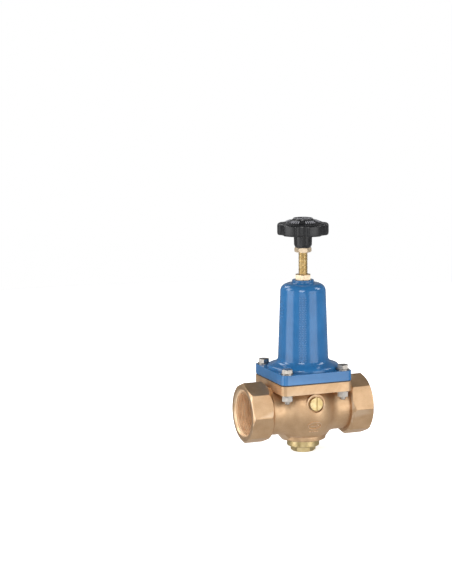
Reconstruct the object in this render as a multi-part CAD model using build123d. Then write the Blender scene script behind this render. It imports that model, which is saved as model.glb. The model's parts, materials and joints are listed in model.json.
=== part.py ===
from build123d import *

import os
from math import radians, sqrt, tan

# A direct-acting pressure reducing valve with G 2 threaded ends (nominal bore 50 mm).
# Millimetres, +Z up. Every piece is drawn about the point where the pipe axis (X) and the valve
# axis (Z) cross, and is moved at export so that the origin is the centre of the inlet port, where
# its thread begins.
# Water enters at the -X port, goes down past the bridge wall, up through the seat and out at +X.
# The valve is drawn open, as the adjusting spring holds it when there is no pressure.

# Pipe ends
PORT_REACH = 84.0            # valve axis to either end face
END_INNER_FACE = 53.5        # valve axis to the inner side of an octagonal end
END_CORNER_RADIUS = 39.5     # octagon, across corners halved
END_FACE_RADIUS = 36.0       # circle left by the bevel on the end face
END_BEVEL_LENGTH = 2.5
END_SHOULDER_RADIUS = 35.0   # where an octagonal end rises from the neck
END_SHOULDER_LENGTH = 5.0
PORT_THREAD_RADIUS = 29.8    # G 2 thread, major radius
PORT_THREAD_LENGTH = 24.0
PORT_MOUTH_BEVEL = 1.5
WATERWAY_RADIUS = 25.0
WATERWAY_TAPER = 2.0         # length of the step from the thread down to the waterway
NECK_RADIUS = 31.0
NECK_BLEND = 25.0            # rounding where a neck meets the globe
END_EDGE_ROUNDING = 2.0

# Globe of the body
GLOBE_RADIUS = 44.0
CHAMBER_RADIUS = 37.0
BRIDGE_THICKNESS = 6.0
BRIDGE_FLAT_REACH = 27.0     # half length of the level part of the bridge wall, which holds the seat
BRIDGE_END_X = 53.0          # where the two sloping parts of the bridge wall meet the waterways
BRIDGE_END_Z = 29.0
CHAMBER_FLOOR = -31.0
BOTTOM_BOSS_RADIUS = 29.0
BOTTOM_BOSS_FACE = -39.0
BOSS_WEB_RADIUS = 22.0
BOSS_WEB_SLOPE = 50.0        # degrees from level, of the webs between the necks and the boss
BOSS_WEB_REACH = 40.0        # valve axis to where the webs run out under the necks
CASTING_ROUNDING = 1.5

# Square flanges and the diaphragm between them
BODY_FLANGE_SIDE = 96.5
BODY_FLANGE_UNDERSIDE = 27.8
DIAPHRAGM_SEAT = 40.0        # top face of the body flange
DIAPHRAGM_THICKNESS = 1.6
DIAPHRAGM_INSET = 0.75       # the sheet's edge stands this far inside the flanges
DIAPHRAGM_FOLD_WIDTH = 5.0
DIAPHRAGM_FOLD_HEIGHT = 2.5
BONNET_BASE = DIAPHRAGM_SEAT + DIAPHRAGM_THICKNESS
BONNET_FLANGE_TOP = 54.0
FLANGE_CORNER_RADIUS = 7.0
DIAPHRAGM_CHAMBER_RADIUS = 34.0
DIAPHRAGM_CHAMBER_FLOOR = 32.0
THROAT_RADIUS = 24.0
BOLT_OFFSET = 38.5           # bolt centres from both flange centrelines
BOLT_HOLE_RADIUS = 4.5

# Fasteners
M8_RADIUS = 4.0
M8_ACROSS_FLATS = 13.0
M8_HEAD_HEIGHT = 5.3
M8_NUT_HEIGHT = 6.5
M8_WASHER_RADIUS = 8.0
M8_WASHER_HOLE_RADIUS = 4.2
M8_WASHER_THICKNESS = 1.6
M8_LENGTH = 40.0
BOLT_TURN = 6.5              # hexagon flats of the bolts face the front left
M10_RADIUS = 5.0
M10_ACROSS_FLATS = 16.0
M12_RADIUS = 6.0
M12_ACROSS_FLATS = 19.0
THREAD_CHAMFER = 1.0         # at the end of a bolt, plug or spindle
RUNNING_CLEARANCE = 0.05     # radial, between a rod and the bore it moves in

# Gauge plugs, G 1/4, one on the front of the globe and one on the back
PLUG_HEIGHT = 13.2
PLUG_THREAD_RADIUS = 6.58
PLUG_HEAD_RADIUS = 9.0
PLUG_PAD_RADIUS = 12.5
PLUG_PAD_FACE = 41.0         # valve axis to the raised pad
PLUG_RECESS_RADIUS = 10.8    # machined recess that the head sits in
PLUG_RECESS_FACE = 40.0
PLUG_SEAL_THICKNESS = 0.8
PLUG_HEAD_THICKNESS = 3.0
PLUG_SHANK_LENGTH = 8.0
PLUG_SLOT_WIDTH = 1.8
PLUG_SLOT_DEPTH = 1.3

# Bottom cap, which closes the lower chamber and guides the stem
CAP_COLLAR_RADIUS = 21.0
CAP_SEAL_THICKNESS = 1.0
CAP_COLLAR_BASE = -48.5
CAP_HEX_BASE = -55.4
CAP_HEX_ACROSS_FLATS = 28.0
CAP_HEX_TURN = -21.5         # a flat of the hexagon faces the front left
CAP_THREAD_RADIUS = 14.0
CAP_THREAD_TOP = -29.5
CAP_BORE_RADIUS = 11.0
CAP_BORE_FLOOR = -50.5
GUIDE_TOP = -40.0

# Seat and closure
SEAT_BORE_RADIUS = 15.5
SEAT_THREAD_RADIUS = 19.0
SEAT_FLANGE_RADIUS = 21.5
SEAT_FLANGE_THICKNESS = 2.5
SEAT_LIP_TIP = -6.0
SEAT_LIP_WIDTH = 1.0
SEAT_CHAMFER = 1.0
POPPET_RADIUS = 18.5
POPPET_BASE_RADIUS = 14.0
POPPET_CONE_HEIGHT = 4.0
POPPET_BASE = -22.0
POPPET_RIM = -11.5
SEAL_RADIUS = 17.6
SEAL_BASE = -14.5
SEAL_TOP = -11.2
SEAL_HOLE_RADIUS = 10.5
RETAINER_RADIUS = 12.5
RETAINER_TOP = -9.6
STEM_SHOULDER_RADIUS = 7.0
STEM_PIN_RADIUS = 4.0
STEM_PIN_END = -49.5
STEM_PIN_CHAMFER = 0.8
STEM_SHOULDER_LENGTH = 3.0
STEM_SHOULDER_TAPER = 2.0
M10_NUT_HEIGHT = 6.0
STEM_WASHER = 1.5
STEM_TOP = 55.0

# Diaphragm plates and springs
PLATE_UNDERSIDE = 34.5
LOWER_PLATE_RADIUS = 25.0
LOWER_PLATE_BASE_RADIUS = 17.0
LOWER_PLATE_CONE_HEIGHT = 3.0
UPPER_PLATE_RADIUS = 24.5
UPPER_PLATE_TOP = 45.2
UPPER_PLATE_RIM_HEIGHT = 2.5
UPPER_PLATE_RIM_ROOM = 0.5   # between the rim and the outside of the set spring
SET_SPRING_RADIUS = 19.0     # to the centre of the wire
SET_SPRING_WIRE = 6.0
SET_SPRING_COILS = 8
CLOSING_SPRING_RADIUS = 8.0
CLOSING_SPRING_WIRE = 1.8
CLOSING_SPRING_COILS = 4
SPRING_PLATE_BASE = 136.0
SPRING_PLATE_RADIUS = 22.5
SPRING_PLATE_THICKNESS = 4.0
SPRING_SPIGOT_RADIUS = 15.0  # centres the top of the set spring
SPRING_SPIGOT_LENGTH = 3.0
THRUST_BALL_RADIUS = 4.0
THRUST_BALL_HEIGHT = 147.0

# Spring bonnet
BONNET_FOOT_RADIUS = 46.0
BONNET_FOOT_TOP = 57.8
BONNET_FOOT_ROUNDING = 3.0
BONNET_FLARE_ROUNDING = 8.0
BONNET_SHOULDER_ROUNDING = 10.0
BONNET_SIDE_BASE = 62.0
BONNET_SIDE_BASE_RADIUS = 32.6
BONNET_SIDE_TOP_RADIUS = 28.9
BONNET_TOP = 162.3
BONNET_COLLAR_RADIUS = 14.0
BONNET_COLLAR_TOP = 167.6
BONNET_ROOF = 152.3
SPRING_ROOM_RADIUS = 24.5
SPRING_ROOM_FOOT_RADIUS = 27.5
SPRING_ROOM_FOOT = 59.6
DIAPHRAGM_ROOM_TOP = 49.6    # level roof of the room above the diaphragm's edge
BUSH_RADIUS = 9.0

# Adjusting spindle and handwheel
SPINDLE_BASE = 148.5
SPINDLE_TOP = 236.0
LOCK_NUT_GAP = 0.1
LOCK_NUT_TURN = 6.5
JAM_NUT_TURN = 38.0          # a flat faces the front left
LOCK_NUT_TOP = 174.4
JAM_NUT_BASE = 203.2
JAM_NUT_TOP = 209.2
WHEEL_HUB_RADIUS = 11.5
WHEEL_HUB_SIDES = 12
WHEEL_HUB_OVERLAP = 4.0      # how far the hub runs up into the rim
WHEEL_HUB_BEVEL_RADIUS = 10.0
WHEEL_HUB_BEVEL_HEIGHT = 2.5
WHEEL_RADIUS = 32.8
WHEEL_UNDERSIDE = 225.9
WHEEL_RIM_TOP = 240.7
WHEEL_RIM_BEVEL = 3.0
WHEEL_CROWN_RADIUS = 18.0
WHEEL_CROWN_DROP = 3.0       # from the top of the crown to its edge
WHEEL_CROWN_TOP = 247.0
WHEEL_LOBES = 6
WHEEL_SCALLOP_RADIUS = 14.0
WHEEL_SCALLOP_DEPTH = 3.0
WHEEL_SCALLOP_BEARING = -26.0    # one scallop faces the front left
INSERT_RADIUS = 8.5


# Shape helpers

def rod(radius, low, high):
    """Round bar on the valve axis between two heights."""
    upright = (Align.CENTER, Align.CENTER, Align.MIN)
    return Pos(0, 0, low) * Cylinder(radius, high - low, align=upright)


def outline(*corners):
    """Flat face with corners (across, up); a third number rounds that corner."""
    face = Polygon(*[corner[:2] for corner in corners])
    for across, up, rounding in [corner for corner in corners if len(corner) == 3]:
        vertex = face.vertices().sort_by_distance((across, up, 0))[0]
        face = fillet(vertex, rounding)
    return face


def turned(*corners):
    """Solid turned about the valve axis from an outline of (radius, height) corners."""
    return revolve(Plane.XZ * outline(*corners), Axis.Z)


def along_pipe(shape):
    """Turns a shape drawn along Z so that it points along +X."""
    return Rot(0, 90, 0) * shape


def to_front(shape):
    """Turns a shape drawn along Z so that it points along -Y."""
    return Rot(90, 0, 0) * shape


def to_back(shape):
    """Turns a shape drawn along Z so that it points along +Y."""
    return Rot(-90, 0, 0) * shape


def hexagon(across_flats, low, high, turn=0):
    """Hexagonal prism on the valve axis with the corners of both ends bevelled."""
    corner = across_flats / sqrt(3)
    bevel = corner - across_flats / 2
    drop = bevel * tan(radians(30))
    prism = extrude(Pos(0, 0, low) * RegularPolygon(corner, 6, rotation=turn), high - low)
    blank = turned(
        (0, low),
        (corner - bevel, low),
        (corner, low + drop),
        (corner, high - drop),
        (corner - bevel, high),
        (0, high),
    )
    return prism & blank


def hex_nut(across_flats, hole_radius, low, high, turn=0):
    """Hexagonal nut with its threaded hole drawn at the major radius."""
    return hexagon(across_flats, low, high, turn) - rod(hole_radius, low, high)


def washer(outer, inner, low, high):
    """Flat ring on the valve axis."""
    return rod(outer, low, high) - rod(inner, low, high)


def square_flange(side, low, high):
    """Square plate with rounded corners, centred on the valve axis."""
    return extrude(Pos(0, 0, low) * RectangleRounded(side, side, FLANGE_CORNER_RADIUS), high - low)


def at_bolts(shape):
    """The shape repeated at the four flange bolts."""
    pitch = 2 * BOLT_OFFSET
    return Part() + [place * shape for place in GridLocations(pitch, pitch, 2, 2)]


def coil(radius, wire, turns, low, high):
    """Compression spring between two heights, with its end coils ground flat."""
    start = low + wire / 4
    rise = high - low - wire / 2
    path = Pos(0, 0, start) * Helix(pitch=rise / turns, height=rise, radius=radius)
    section = Plane(origin=path @ 0, z_dir=path % 0) * Circle(wire / 2)
    spring = sweep(section, path=path, is_frenet=True)
    return spring & rod(radius + wire, low, high)


# Body

def octagonal_end():
    """One threaded end along +Z, with an octagon corner facing up and one facing the front."""
    octagon = RegularPolygon(END_CORNER_RADIUS, 8)
    octagon = fillet(octagon.vertices(), END_EDGE_ROUNDING)
    prism = extrude(Pos(0, 0, END_INNER_FACE) * octagon, PORT_REACH - END_INNER_FACE)
    blank = turned(
        (0, END_INNER_FACE),
        (END_SHOULDER_RADIUS, END_INNER_FACE),
        (END_CORNER_RADIUS, END_INNER_FACE + END_SHOULDER_LENGTH, 5),
        (END_CORNER_RADIUS, PORT_REACH - END_BEVEL_LENGTH),
        (END_FACE_RADIUS, PORT_REACH),
        (0, PORT_REACH),
    )
    return prism & blank


def port_bore():
    """Hollow of one port along +Z: waterway, thread at its major radius, mouth bevel."""
    thread_end = PORT_REACH - PORT_MOUTH_BEVEL - PORT_THREAD_LENGTH
    return turned(
        (0, 0),
        (WATERWAY_RADIUS, 0),
        (WATERWAY_RADIUS, thread_end - WATERWAY_TAPER),
        (PORT_THREAD_RADIUS, thread_end),
        (PORT_THREAD_RADIUS, PORT_REACH - PORT_MOUTH_BEVEL),
        (PORT_THREAD_RADIUS + PORT_MOUTH_BEVEL, PORT_REACH),
        (0, PORT_REACH),
    )


def both_ends(shape):
    """A shape drawn along +Z, placed along +X and mirrored to -X."""
    outlet = along_pipe(shape)
    return outlet + mirror(outlet, about=Plane.YZ)


def globe_and_necks():
    """The round middle of the casting, blending into a neck on each side."""
    section = Circle(GLOBE_RADIUS) + Rectangle(2 * END_INNER_FACE + 2, 2 * NECK_RADIUS)
    section &= Pos(0, GLOBE_RADIUS) * Rectangle(4 * GLOBE_RADIUS, 2 * GLOBE_RADIUS)
    corners = [v for v in section.vertices() if v.Y > 1 and abs(v.X) < GLOBE_RADIUS]
    casting = revolve(fillet(corners, NECK_BLEND), Axis.X)
    return casting & rod(PORT_REACH, BOTTOM_BOSS_FACE, DIAPHRAGM_SEAT)


def boss_webs():
    """Round-backed webs that slope from the underside of both necks down to the boss."""
    length = 2 * BOTTOM_BOSS_RADIUS
    web = Pos(-BOSS_WEB_RADIUS, 0, 0) * Cylinder(BOSS_WEB_RADIUS, length)
    web = Pos(BOTTOM_BOSS_RADIUS, 0, BOTTOM_BOSS_FACE) * Rot(0, 90 - BOSS_WEB_SLOPE, 0) * web
    web &= rod(BOSS_WEB_REACH, BOTTOM_BOSS_FACE, 0)
    return web + mirror(web, about=Plane.YZ)


def bridge_wall():
    """S-shaped wall between inlet and outlet, level where it holds the seat."""
    centreline = Polyline(
        (-BRIDGE_END_X, BRIDGE_END_Z),
        (-BRIDGE_FLAT_REACH, 0),
        (BRIDGE_FLAT_REACH, 0),
        (BRIDGE_END_X, -BRIDGE_END_Z),
    )
    return extrude(Plane.XZ * trace(centreline, BRIDGE_THICKNESS), GLOBE_RADIUS, both=True)


def water_space():
    """What the water fills: two ports, two chambers, and the room under the diaphragm."""
    chamber = Sphere(CHAMBER_RADIUS) - rod(CHAMBER_RADIUS, -CHAMBER_RADIUS, CHAMBER_FLOOR)
    chamber += rod(THROAT_RADIUS, 0, DIAPHRAGM_CHAMBER_FLOOR)
    space = chamber + both_ends(port_bore()) - bridge_wall()
    return space + rod(DIAPHRAGM_CHAMBER_RADIUS, DIAPHRAGM_CHAMBER_FLOOR, DIAPHRAGM_SEAT)


def valve_body():
    """Bronze casting with both threaded ends, the bridge wall and the lower flange."""
    body = globe_and_necks() + both_ends(octagonal_end()) + boss_webs()
    body += turned(
        (0, 0),
        (BOTTOM_BOSS_RADIUS, 0),
        (BOTTOM_BOSS_RADIUS, BOTTOM_BOSS_FACE, CASTING_ROUNDING),
        (0, BOTTOM_BOSS_FACE),
    )
    body += square_flange(BODY_FLANGE_SIDE, BODY_FLANGE_UNDERSIDE, DIAPHRAGM_SEAT)
    pad = Pos(0, 0, PLUG_HEIGHT) * to_front(rod(PLUG_PAD_RADIUS, 0, PLUG_PAD_FACE))
    body += pad + mirror(pad, about=Plane.XZ)
    body -= water_space()
    body -= on_front_pad(plug_socket()) + on_rear_pad(plug_socket())
    body -= rod(SEAT_THREAD_RADIUS, -BRIDGE_THICKNESS, BRIDGE_THICKNESS)
    body -= rod(CAP_THREAD_RADIUS, BOTTOM_BOSS_FACE, CHAMBER_FLOOR)
    body -= at_bolts(rod(BOLT_HOLE_RADIUS, BODY_FLANGE_UNDERSIDE, DIAPHRAGM_SEAT))
    return body


def seat_ring():
    """Ring screwed into the bridge wall from above, with a narrow lip that the poppet closes on."""
    bridge_half = BRIDGE_THICKNESS / 2
    flange_top = bridge_half + SEAT_FLANGE_THICKNESS
    return turned(
        (SEAT_BORE_RADIUS, SEAT_LIP_TIP),
        (SEAT_BORE_RADIUS + SEAT_LIP_WIDTH, SEAT_LIP_TIP),
        (SEAT_BORE_RADIUS + 2 * SEAT_LIP_WIDTH, -bridge_half),
        (SEAT_THREAD_RADIUS, -bridge_half),
        (SEAT_THREAD_RADIUS, bridge_half),
        (SEAT_FLANGE_RADIUS, bridge_half),
        (SEAT_FLANGE_RADIUS, flange_top),
        (SEAT_BORE_RADIUS + SEAT_CHAMFER, flange_top),
        (SEAT_BORE_RADIUS, flange_top - SEAT_CHAMFER),
    )


# Gauge plugs

def plug_socket():
    """Recess and threaded hole for one gauge plug, drawn along +Z from the recess face."""
    return rod(PLUG_RECESS_RADIUS, 0, PLUG_SHANK_LENGTH) + rod(PLUG_THREAD_RADIUS, -PLUG_SHANK_LENGTH, 0)


def gauge_plug():
    """Slotted round-headed plug, drawn pointing along +Z from the recess face."""
    head_base = PLUG_SEAL_THICKNESS
    head_top = head_base + PLUG_HEAD_THICKNESS
    plug = turned(
        (0, -PLUG_SHANK_LENGTH),
        (PLUG_THREAD_RADIUS - THREAD_CHAMFER, -PLUG_SHANK_LENGTH),
        (PLUG_THREAD_RADIUS, THREAD_CHAMFER - PLUG_SHANK_LENGTH),
        (PLUG_THREAD_RADIUS, head_base),
        (PLUG_HEAD_RADIUS, head_base),
        (PLUG_HEAD_RADIUS, head_top, 1.0),
        (0, head_top),
    )
    slot = Box(PLUG_SLOT_WIDTH, 3 * PLUG_HEAD_RADIUS, 2 * PLUG_SLOT_DEPTH)
    return plug - Pos(0, 0, head_top) * slot


def on_front_pad(shape):
    """Moves a shape drawn along +Z from the recess face to the front of the globe."""
    return Pos(0, -PLUG_RECESS_FACE, PLUG_HEIGHT) * to_front(shape)


def on_rear_pad(shape):
    """Moves a shape drawn along +Z from the recess face to the back of the globe."""
    return Pos(0, PLUG_RECESS_FACE, PLUG_HEIGHT) * to_back(shape)


def gauge_plug_seal():
    """Flat sealing ring between the recess and the head of a gauge plug."""
    return washer(PLUG_HEAD_RADIUS - 0.6, PLUG_THREAD_RADIUS, 0, PLUG_SEAL_THICKNESS)


# Bottom cap

def bottom_cap():
    """Screwed cap with a round collar, a hexagon for a spanner and a bore for the stem guide."""
    collar_top = BOTTOM_BOSS_FACE - CAP_SEAL_THICKNESS
    cap = turned(
        (0, CAP_COLLAR_BASE),
        (CAP_COLLAR_RADIUS, CAP_COLLAR_BASE, 1.5),
        (CAP_COLLAR_RADIUS, collar_top, 0.8),
        (CAP_THREAD_RADIUS, collar_top),
        (CAP_THREAD_RADIUS, CAP_THREAD_TOP, 0.8),
        (0, CAP_THREAD_TOP),
    )
    cap += hexagon(CAP_HEX_ACROSS_FLATS, CAP_HEX_BASE, CAP_COLLAR_BASE + 1, CAP_HEX_TURN)
    return cap - rod(CAP_BORE_RADIUS, CAP_BORE_FLOOR, CAP_THREAD_TOP)


def bottom_cap_seal():
    """Flat sealing ring between the cap's collar and the boss."""
    low = BOTTOM_BOSS_FACE - CAP_SEAL_THICKNESS
    return washer(CAP_COLLAR_RADIUS - 0.8, CAP_THREAD_RADIUS, low, BOTTOM_BOSS_FACE)


def guide_bush():
    """Bush pressed into the cap, in which the pin of the stem slides."""
    hole = STEM_PIN_RADIUS + RUNNING_CLEARANCE
    return washer(CAP_BORE_RADIUS, hole, CAP_BORE_FLOOR, GUIDE_TOP)


# Closure: stem, poppet and diaphragm plates

def stem():
    """Turned stem from the guide pin up through the seat to the diaphragm nut."""
    taper_top = RETAINER_TOP + STEM_SHOULDER_LENGTH
    taper_base = PLATE_UNDERSIDE - STEM_SHOULDER_LENGTH
    return turned(
        (0, STEM_PIN_END),
        (STEM_PIN_RADIUS - STEM_PIN_CHAMFER, STEM_PIN_END),
        (STEM_PIN_RADIUS, STEM_PIN_END + STEM_PIN_CHAMFER),
        (STEM_PIN_RADIUS, POPPET_BASE - M10_NUT_HEIGHT),
        (M10_RADIUS, POPPET_BASE - M10_NUT_HEIGHT),
        (M10_RADIUS, RETAINER_TOP),
        (STEM_SHOULDER_RADIUS, RETAINER_TOP),
        (STEM_SHOULDER_RADIUS, taper_top),
        (M10_RADIUS, taper_top + STEM_SHOULDER_TAPER),
        (M10_RADIUS, taper_base - STEM_SHOULDER_TAPER),
        (STEM_SHOULDER_RADIUS, taper_base),
        (STEM_SHOULDER_RADIUS, PLATE_UNDERSIDE),
        (M10_RADIUS, PLATE_UNDERSIDE),
        (M10_RADIUS, STEM_TOP - THREAD_CHAMFER),
        (M10_RADIUS - THREAD_CHAMFER, STEM_TOP),
        (0, STEM_TOP),
    )


def poppet():
    """Closure disc with a pocket in its top for the rubber face."""
    return turned(
        (M10_RADIUS, POPPET_BASE),
        (POPPET_BASE_RADIUS, POPPET_BASE),
        (POPPET_RADIUS, POPPET_BASE + POPPET_CONE_HEIGHT),
        (POPPET_RADIUS, POPPET_RIM),
        (SEAL_RADIUS, POPPET_RIM),
        (SEAL_RADIUS, SEAL_BASE),
        (M10_RADIUS, SEAL_BASE),
    )


def poppet_seal():
    """Rubber face that meets the lip of the seat."""
    return washer(SEAL_RADIUS, SEAL_HOLE_RADIUS, SEAL_BASE, SEAL_TOP)


def seal_retainer():
    """Stepped washer that holds the rubber face in the poppet."""
    return turned(
        (M10_RADIUS, SEAL_BASE),
        (SEAL_HOLE_RADIUS, SEAL_BASE),
        (SEAL_HOLE_RADIUS, SEAL_TOP),
        (RETAINER_RADIUS, SEAL_TOP),
        (RETAINER_RADIUS, RETAINER_TOP, 0.6),
        (M10_RADIUS, RETAINER_TOP),
    )


def poppet_nut():
    """Nut that clamps the poppet and the retainer against the stem's lower shoulder."""
    return hex_nut(M10_ACROSS_FLATS, M10_RADIUS, POPPET_BASE - M10_NUT_HEIGHT, POPPET_BASE)


def lower_diaphragm_plate():
    """Dished plate under the diaphragm."""
    return turned(
        (M10_RADIUS, PLATE_UNDERSIDE),
        (LOWER_PLATE_BASE_RADIUS, PLATE_UNDERSIDE),
        (LOWER_PLATE_RADIUS, PLATE_UNDERSIDE + LOWER_PLATE_CONE_HEIGHT),
        (LOWER_PLATE_RADIUS, DIAPHRAGM_SEAT, 1.2),
        (M10_RADIUS, DIAPHRAGM_SEAT),
    )


def upper_diaphragm_plate():
    """Plate on top of the diaphragm, with a rim that centres the set spring."""
    rim_inside = SET_SPRING_RADIUS + SET_SPRING_WIRE / 2 + UPPER_PLATE_RIM_ROOM
    rim_top = UPPER_PLATE_TOP + UPPER_PLATE_RIM_HEIGHT
    return turned(
        (M10_RADIUS, BONNET_BASE),
        (UPPER_PLATE_RADIUS, BONNET_BASE, 1.0),
        (UPPER_PLATE_RADIUS, rim_top),
        (rim_inside, rim_top),
        (rim_inside, UPPER_PLATE_TOP),
        (M10_RADIUS, UPPER_PLATE_TOP),
    )


def stem_washer():
    """Washer under the diaphragm nut."""
    return washer(M10_RADIUS * 2, M10_RADIUS, UPPER_PLATE_TOP, UPPER_PLATE_TOP + STEM_WASHER)


def stem_nut():
    """Nut that clamps the diaphragm between its two plates."""
    low = UPPER_PLATE_TOP + STEM_WASHER
    return hex_nut(M10_ACROSS_FLATS, M10_RADIUS, low, low + M10_NUT_HEIGHT)


def closing_spring():
    """Light spring between the guide bush and the poppet nut."""
    low = GUIDE_TOP
    high = POPPET_BASE - M10_NUT_HEIGHT
    return coil(CLOSING_SPRING_RADIUS, CLOSING_SPRING_WIRE, CLOSING_SPRING_COILS, low, high)


# Diaphragm and flange joint

def diaphragm():
    """Rubber sheet clamped between the flanges, with one raised fold outside the plates."""
    sheet = square_flange(BODY_FLANGE_SIDE - 2 * DIAPHRAGM_INSET, DIAPHRAGM_SEAT, BONNET_BASE)
    ridge = (UPPER_PLATE_RADIUS + DIAPHRAGM_CHAMBER_RADIUS) / 2
    inner = ridge - DIAPHRAGM_FOLD_WIDTH / 2
    outer = ridge + DIAPHRAGM_FOLD_WIDTH / 2
    fold = turned(
        (inner, DIAPHRAGM_SEAT),
        (ridge, DIAPHRAGM_SEAT + DIAPHRAGM_FOLD_HEIGHT, 1.2),
        (outer, DIAPHRAGM_SEAT),
        (outer, BONNET_BASE),
        (ridge, BONNET_BASE + DIAPHRAGM_FOLD_HEIGHT, 1.2),
        (inner, BONNET_BASE),
    )
    sheet -= washer(outer, inner, DIAPHRAGM_SEAT, BONNET_BASE)
    sheet += fold
    sheet -= at_bolts(rod(BOLT_HOLE_RADIUS, DIAPHRAGM_SEAT, BONNET_BASE))
    return sheet - rod(M10_RADIUS, DIAPHRAGM_SEAT, BONNET_BASE)


def flange_bolt():
    """M8 hexagon bolt on the valve axis, its head on the washer on top of the bonnet flange."""
    head_base = BONNET_FLANGE_TOP + M8_WASHER_THICKNESS
    head_top = head_base + M8_HEAD_HEIGHT
    end = head_base - M8_LENGTH
    shank = turned(
        (0, end),
        (M8_RADIUS - THREAD_CHAMFER, end),
        (M8_RADIUS, end + THREAD_CHAMFER),
        (M8_RADIUS, head_base),
        (0, head_base),
    )
    return shank + hexagon(M8_ACROSS_FLATS, head_base, head_top, BOLT_TURN)


def flange_washer_pair():
    """Washers of one bolt: under its head, and between the body flange and the nut."""
    under_flange = BODY_FLANGE_UNDERSIDE - M8_WASHER_THICKNESS
    pair = Part()
    for low in (BONNET_FLANGE_TOP, under_flange):
        pair += washer(M8_WASHER_RADIUS, M8_WASHER_HOLE_RADIUS, low, low + M8_WASHER_THICKNESS)
    return pair


def flange_nut():
    """M8 nut on the valve axis, on the washer under the body flange."""
    high = BODY_FLANGE_UNDERSIDE - M8_WASHER_THICKNESS
    return hex_nut(M8_ACROSS_FLATS, M8_RADIUS, high - M8_NUT_HEIGHT, high, BOLT_TURN)


# Spring bonnet and setting parts

def spring_bonnet():
    """Bell-shaped cover over the set spring, cast with its square flange."""
    bell = turned(
        (0, BONNET_BASE),
        (BONNET_FOOT_RADIUS, BONNET_BASE),
        (BONNET_FOOT_RADIUS, BONNET_FOOT_TOP, BONNET_FOOT_ROUNDING),
        (BONNET_SIDE_BASE_RADIUS, BONNET_SIDE_BASE, BONNET_FLARE_ROUNDING),
        (BONNET_SIDE_TOP_RADIUS, BONNET_TOP, BONNET_SHOULDER_ROUNDING),
        (BONNET_COLLAR_RADIUS, BONNET_TOP + 1, 2),
        (BONNET_COLLAR_RADIUS, BONNET_COLLAR_TOP, 1),
        (0, BONNET_COLLAR_TOP),
    )
    bonnet = bell + square_flange(BODY_FLANGE_SIDE, BONNET_BASE, BONNET_FLANGE_TOP)
    bonnet -= turned(
        (0, BONNET_BASE),
        (DIAPHRAGM_CHAMBER_RADIUS, BONNET_BASE),
        (DIAPHRAGM_CHAMBER_RADIUS, DIAPHRAGM_ROOM_TOP, 3),
        (SPRING_ROOM_FOOT_RADIUS, SPRING_ROOM_FOOT),
        (SPRING_ROOM_RADIUS, BONNET_ROOF, 4),
        (0, BONNET_ROOF),
    )
    bonnet -= rod(BUSH_RADIUS, BONNET_ROOF, BONNET_COLLAR_TOP)
    return bonnet - at_bolts(rod(BOLT_HOLE_RADIUS, BONNET_BASE, BONNET_FLANGE_TOP))


def bonnet_bush():
    """Threaded bush in the top of the bonnet, in which the adjusting spindle turns."""
    return washer(BUSH_RADIUS, M12_RADIUS + RUNNING_CLEARANCE, BONNET_ROOF, BONNET_COLLAR_TOP)


def set_spring():
    """Strong spring that sets the outlet pressure."""
    high = SPRING_PLATE_BASE
    return coil(SET_SPRING_RADIUS, SET_SPRING_WIRE, SET_SPRING_COILS, UPPER_PLATE_TOP, high)


def upper_spring_plate():
    """Plate on top of the set spring, with a hub that carries the thrust ball."""
    spigot_base = SPRING_PLATE_BASE - SPRING_SPIGOT_LENGTH
    plate_top = SPRING_PLATE_BASE + SPRING_PLATE_THICKNESS
    hub_top = THRUST_BALL_HEIGHT - 1
    plate = turned(
        (0, spigot_base),
        (SPRING_SPIGOT_RADIUS, spigot_base, 1),
        (SPRING_SPIGOT_RADIUS, SPRING_PLATE_BASE),
        (SPRING_PLATE_RADIUS, SPRING_PLATE_BASE),
        (SPRING_PLATE_RADIUS, plate_top, 1),
        (BUSH_RADIUS, plate_top),
        (BUSH_RADIUS - 1, hub_top),
        (0, hub_top),
    )
    return plate - Pos(0, 0, THRUST_BALL_HEIGHT) * Sphere(THRUST_BALL_RADIUS)


def thrust_ball():
    """Steel ball that lets the spindle turn on the spring plate."""
    return Pos(0, 0, THRUST_BALL_HEIGHT) * Sphere(THRUST_BALL_RADIUS)


def adjusting_spindle():
    """M12 spindle drawn at the thread's major radius, with a cup for the ball in its lower end."""
    spindle = turned(
        (0, SPINDLE_BASE),
        (M12_RADIUS - THREAD_CHAMFER, SPINDLE_BASE),
        (M12_RADIUS, SPINDLE_BASE + THREAD_CHAMFER),
        (M12_RADIUS, SPINDLE_TOP - THREAD_CHAMFER),
        (M12_RADIUS - THREAD_CHAMFER, SPINDLE_TOP),
        (0, SPINDLE_TOP),
    )
    cup = Sphere(THRUST_BALL_RADIUS + RUNNING_CLEARANCE)
    return spindle - Pos(0, 0, THRUST_BALL_HEIGHT) * cup


def lock_nut():
    """Nut that locks the spindle against the top of the bonnet."""
    hole = M12_RADIUS + RUNNING_CLEARANCE
    low = BONNET_COLLAR_TOP + LOCK_NUT_GAP
    return hex_nut(M12_ACROSS_FLATS, hole, low, LOCK_NUT_TOP, LOCK_NUT_TURN)


def jam_nut():
    """Nut that locks the handwheel on the spindle."""
    return hex_nut(M12_ACROSS_FLATS, M12_RADIUS, JAM_NUT_BASE, JAM_NUT_TOP, JAM_NUT_TURN)


# Handwheel

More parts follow.
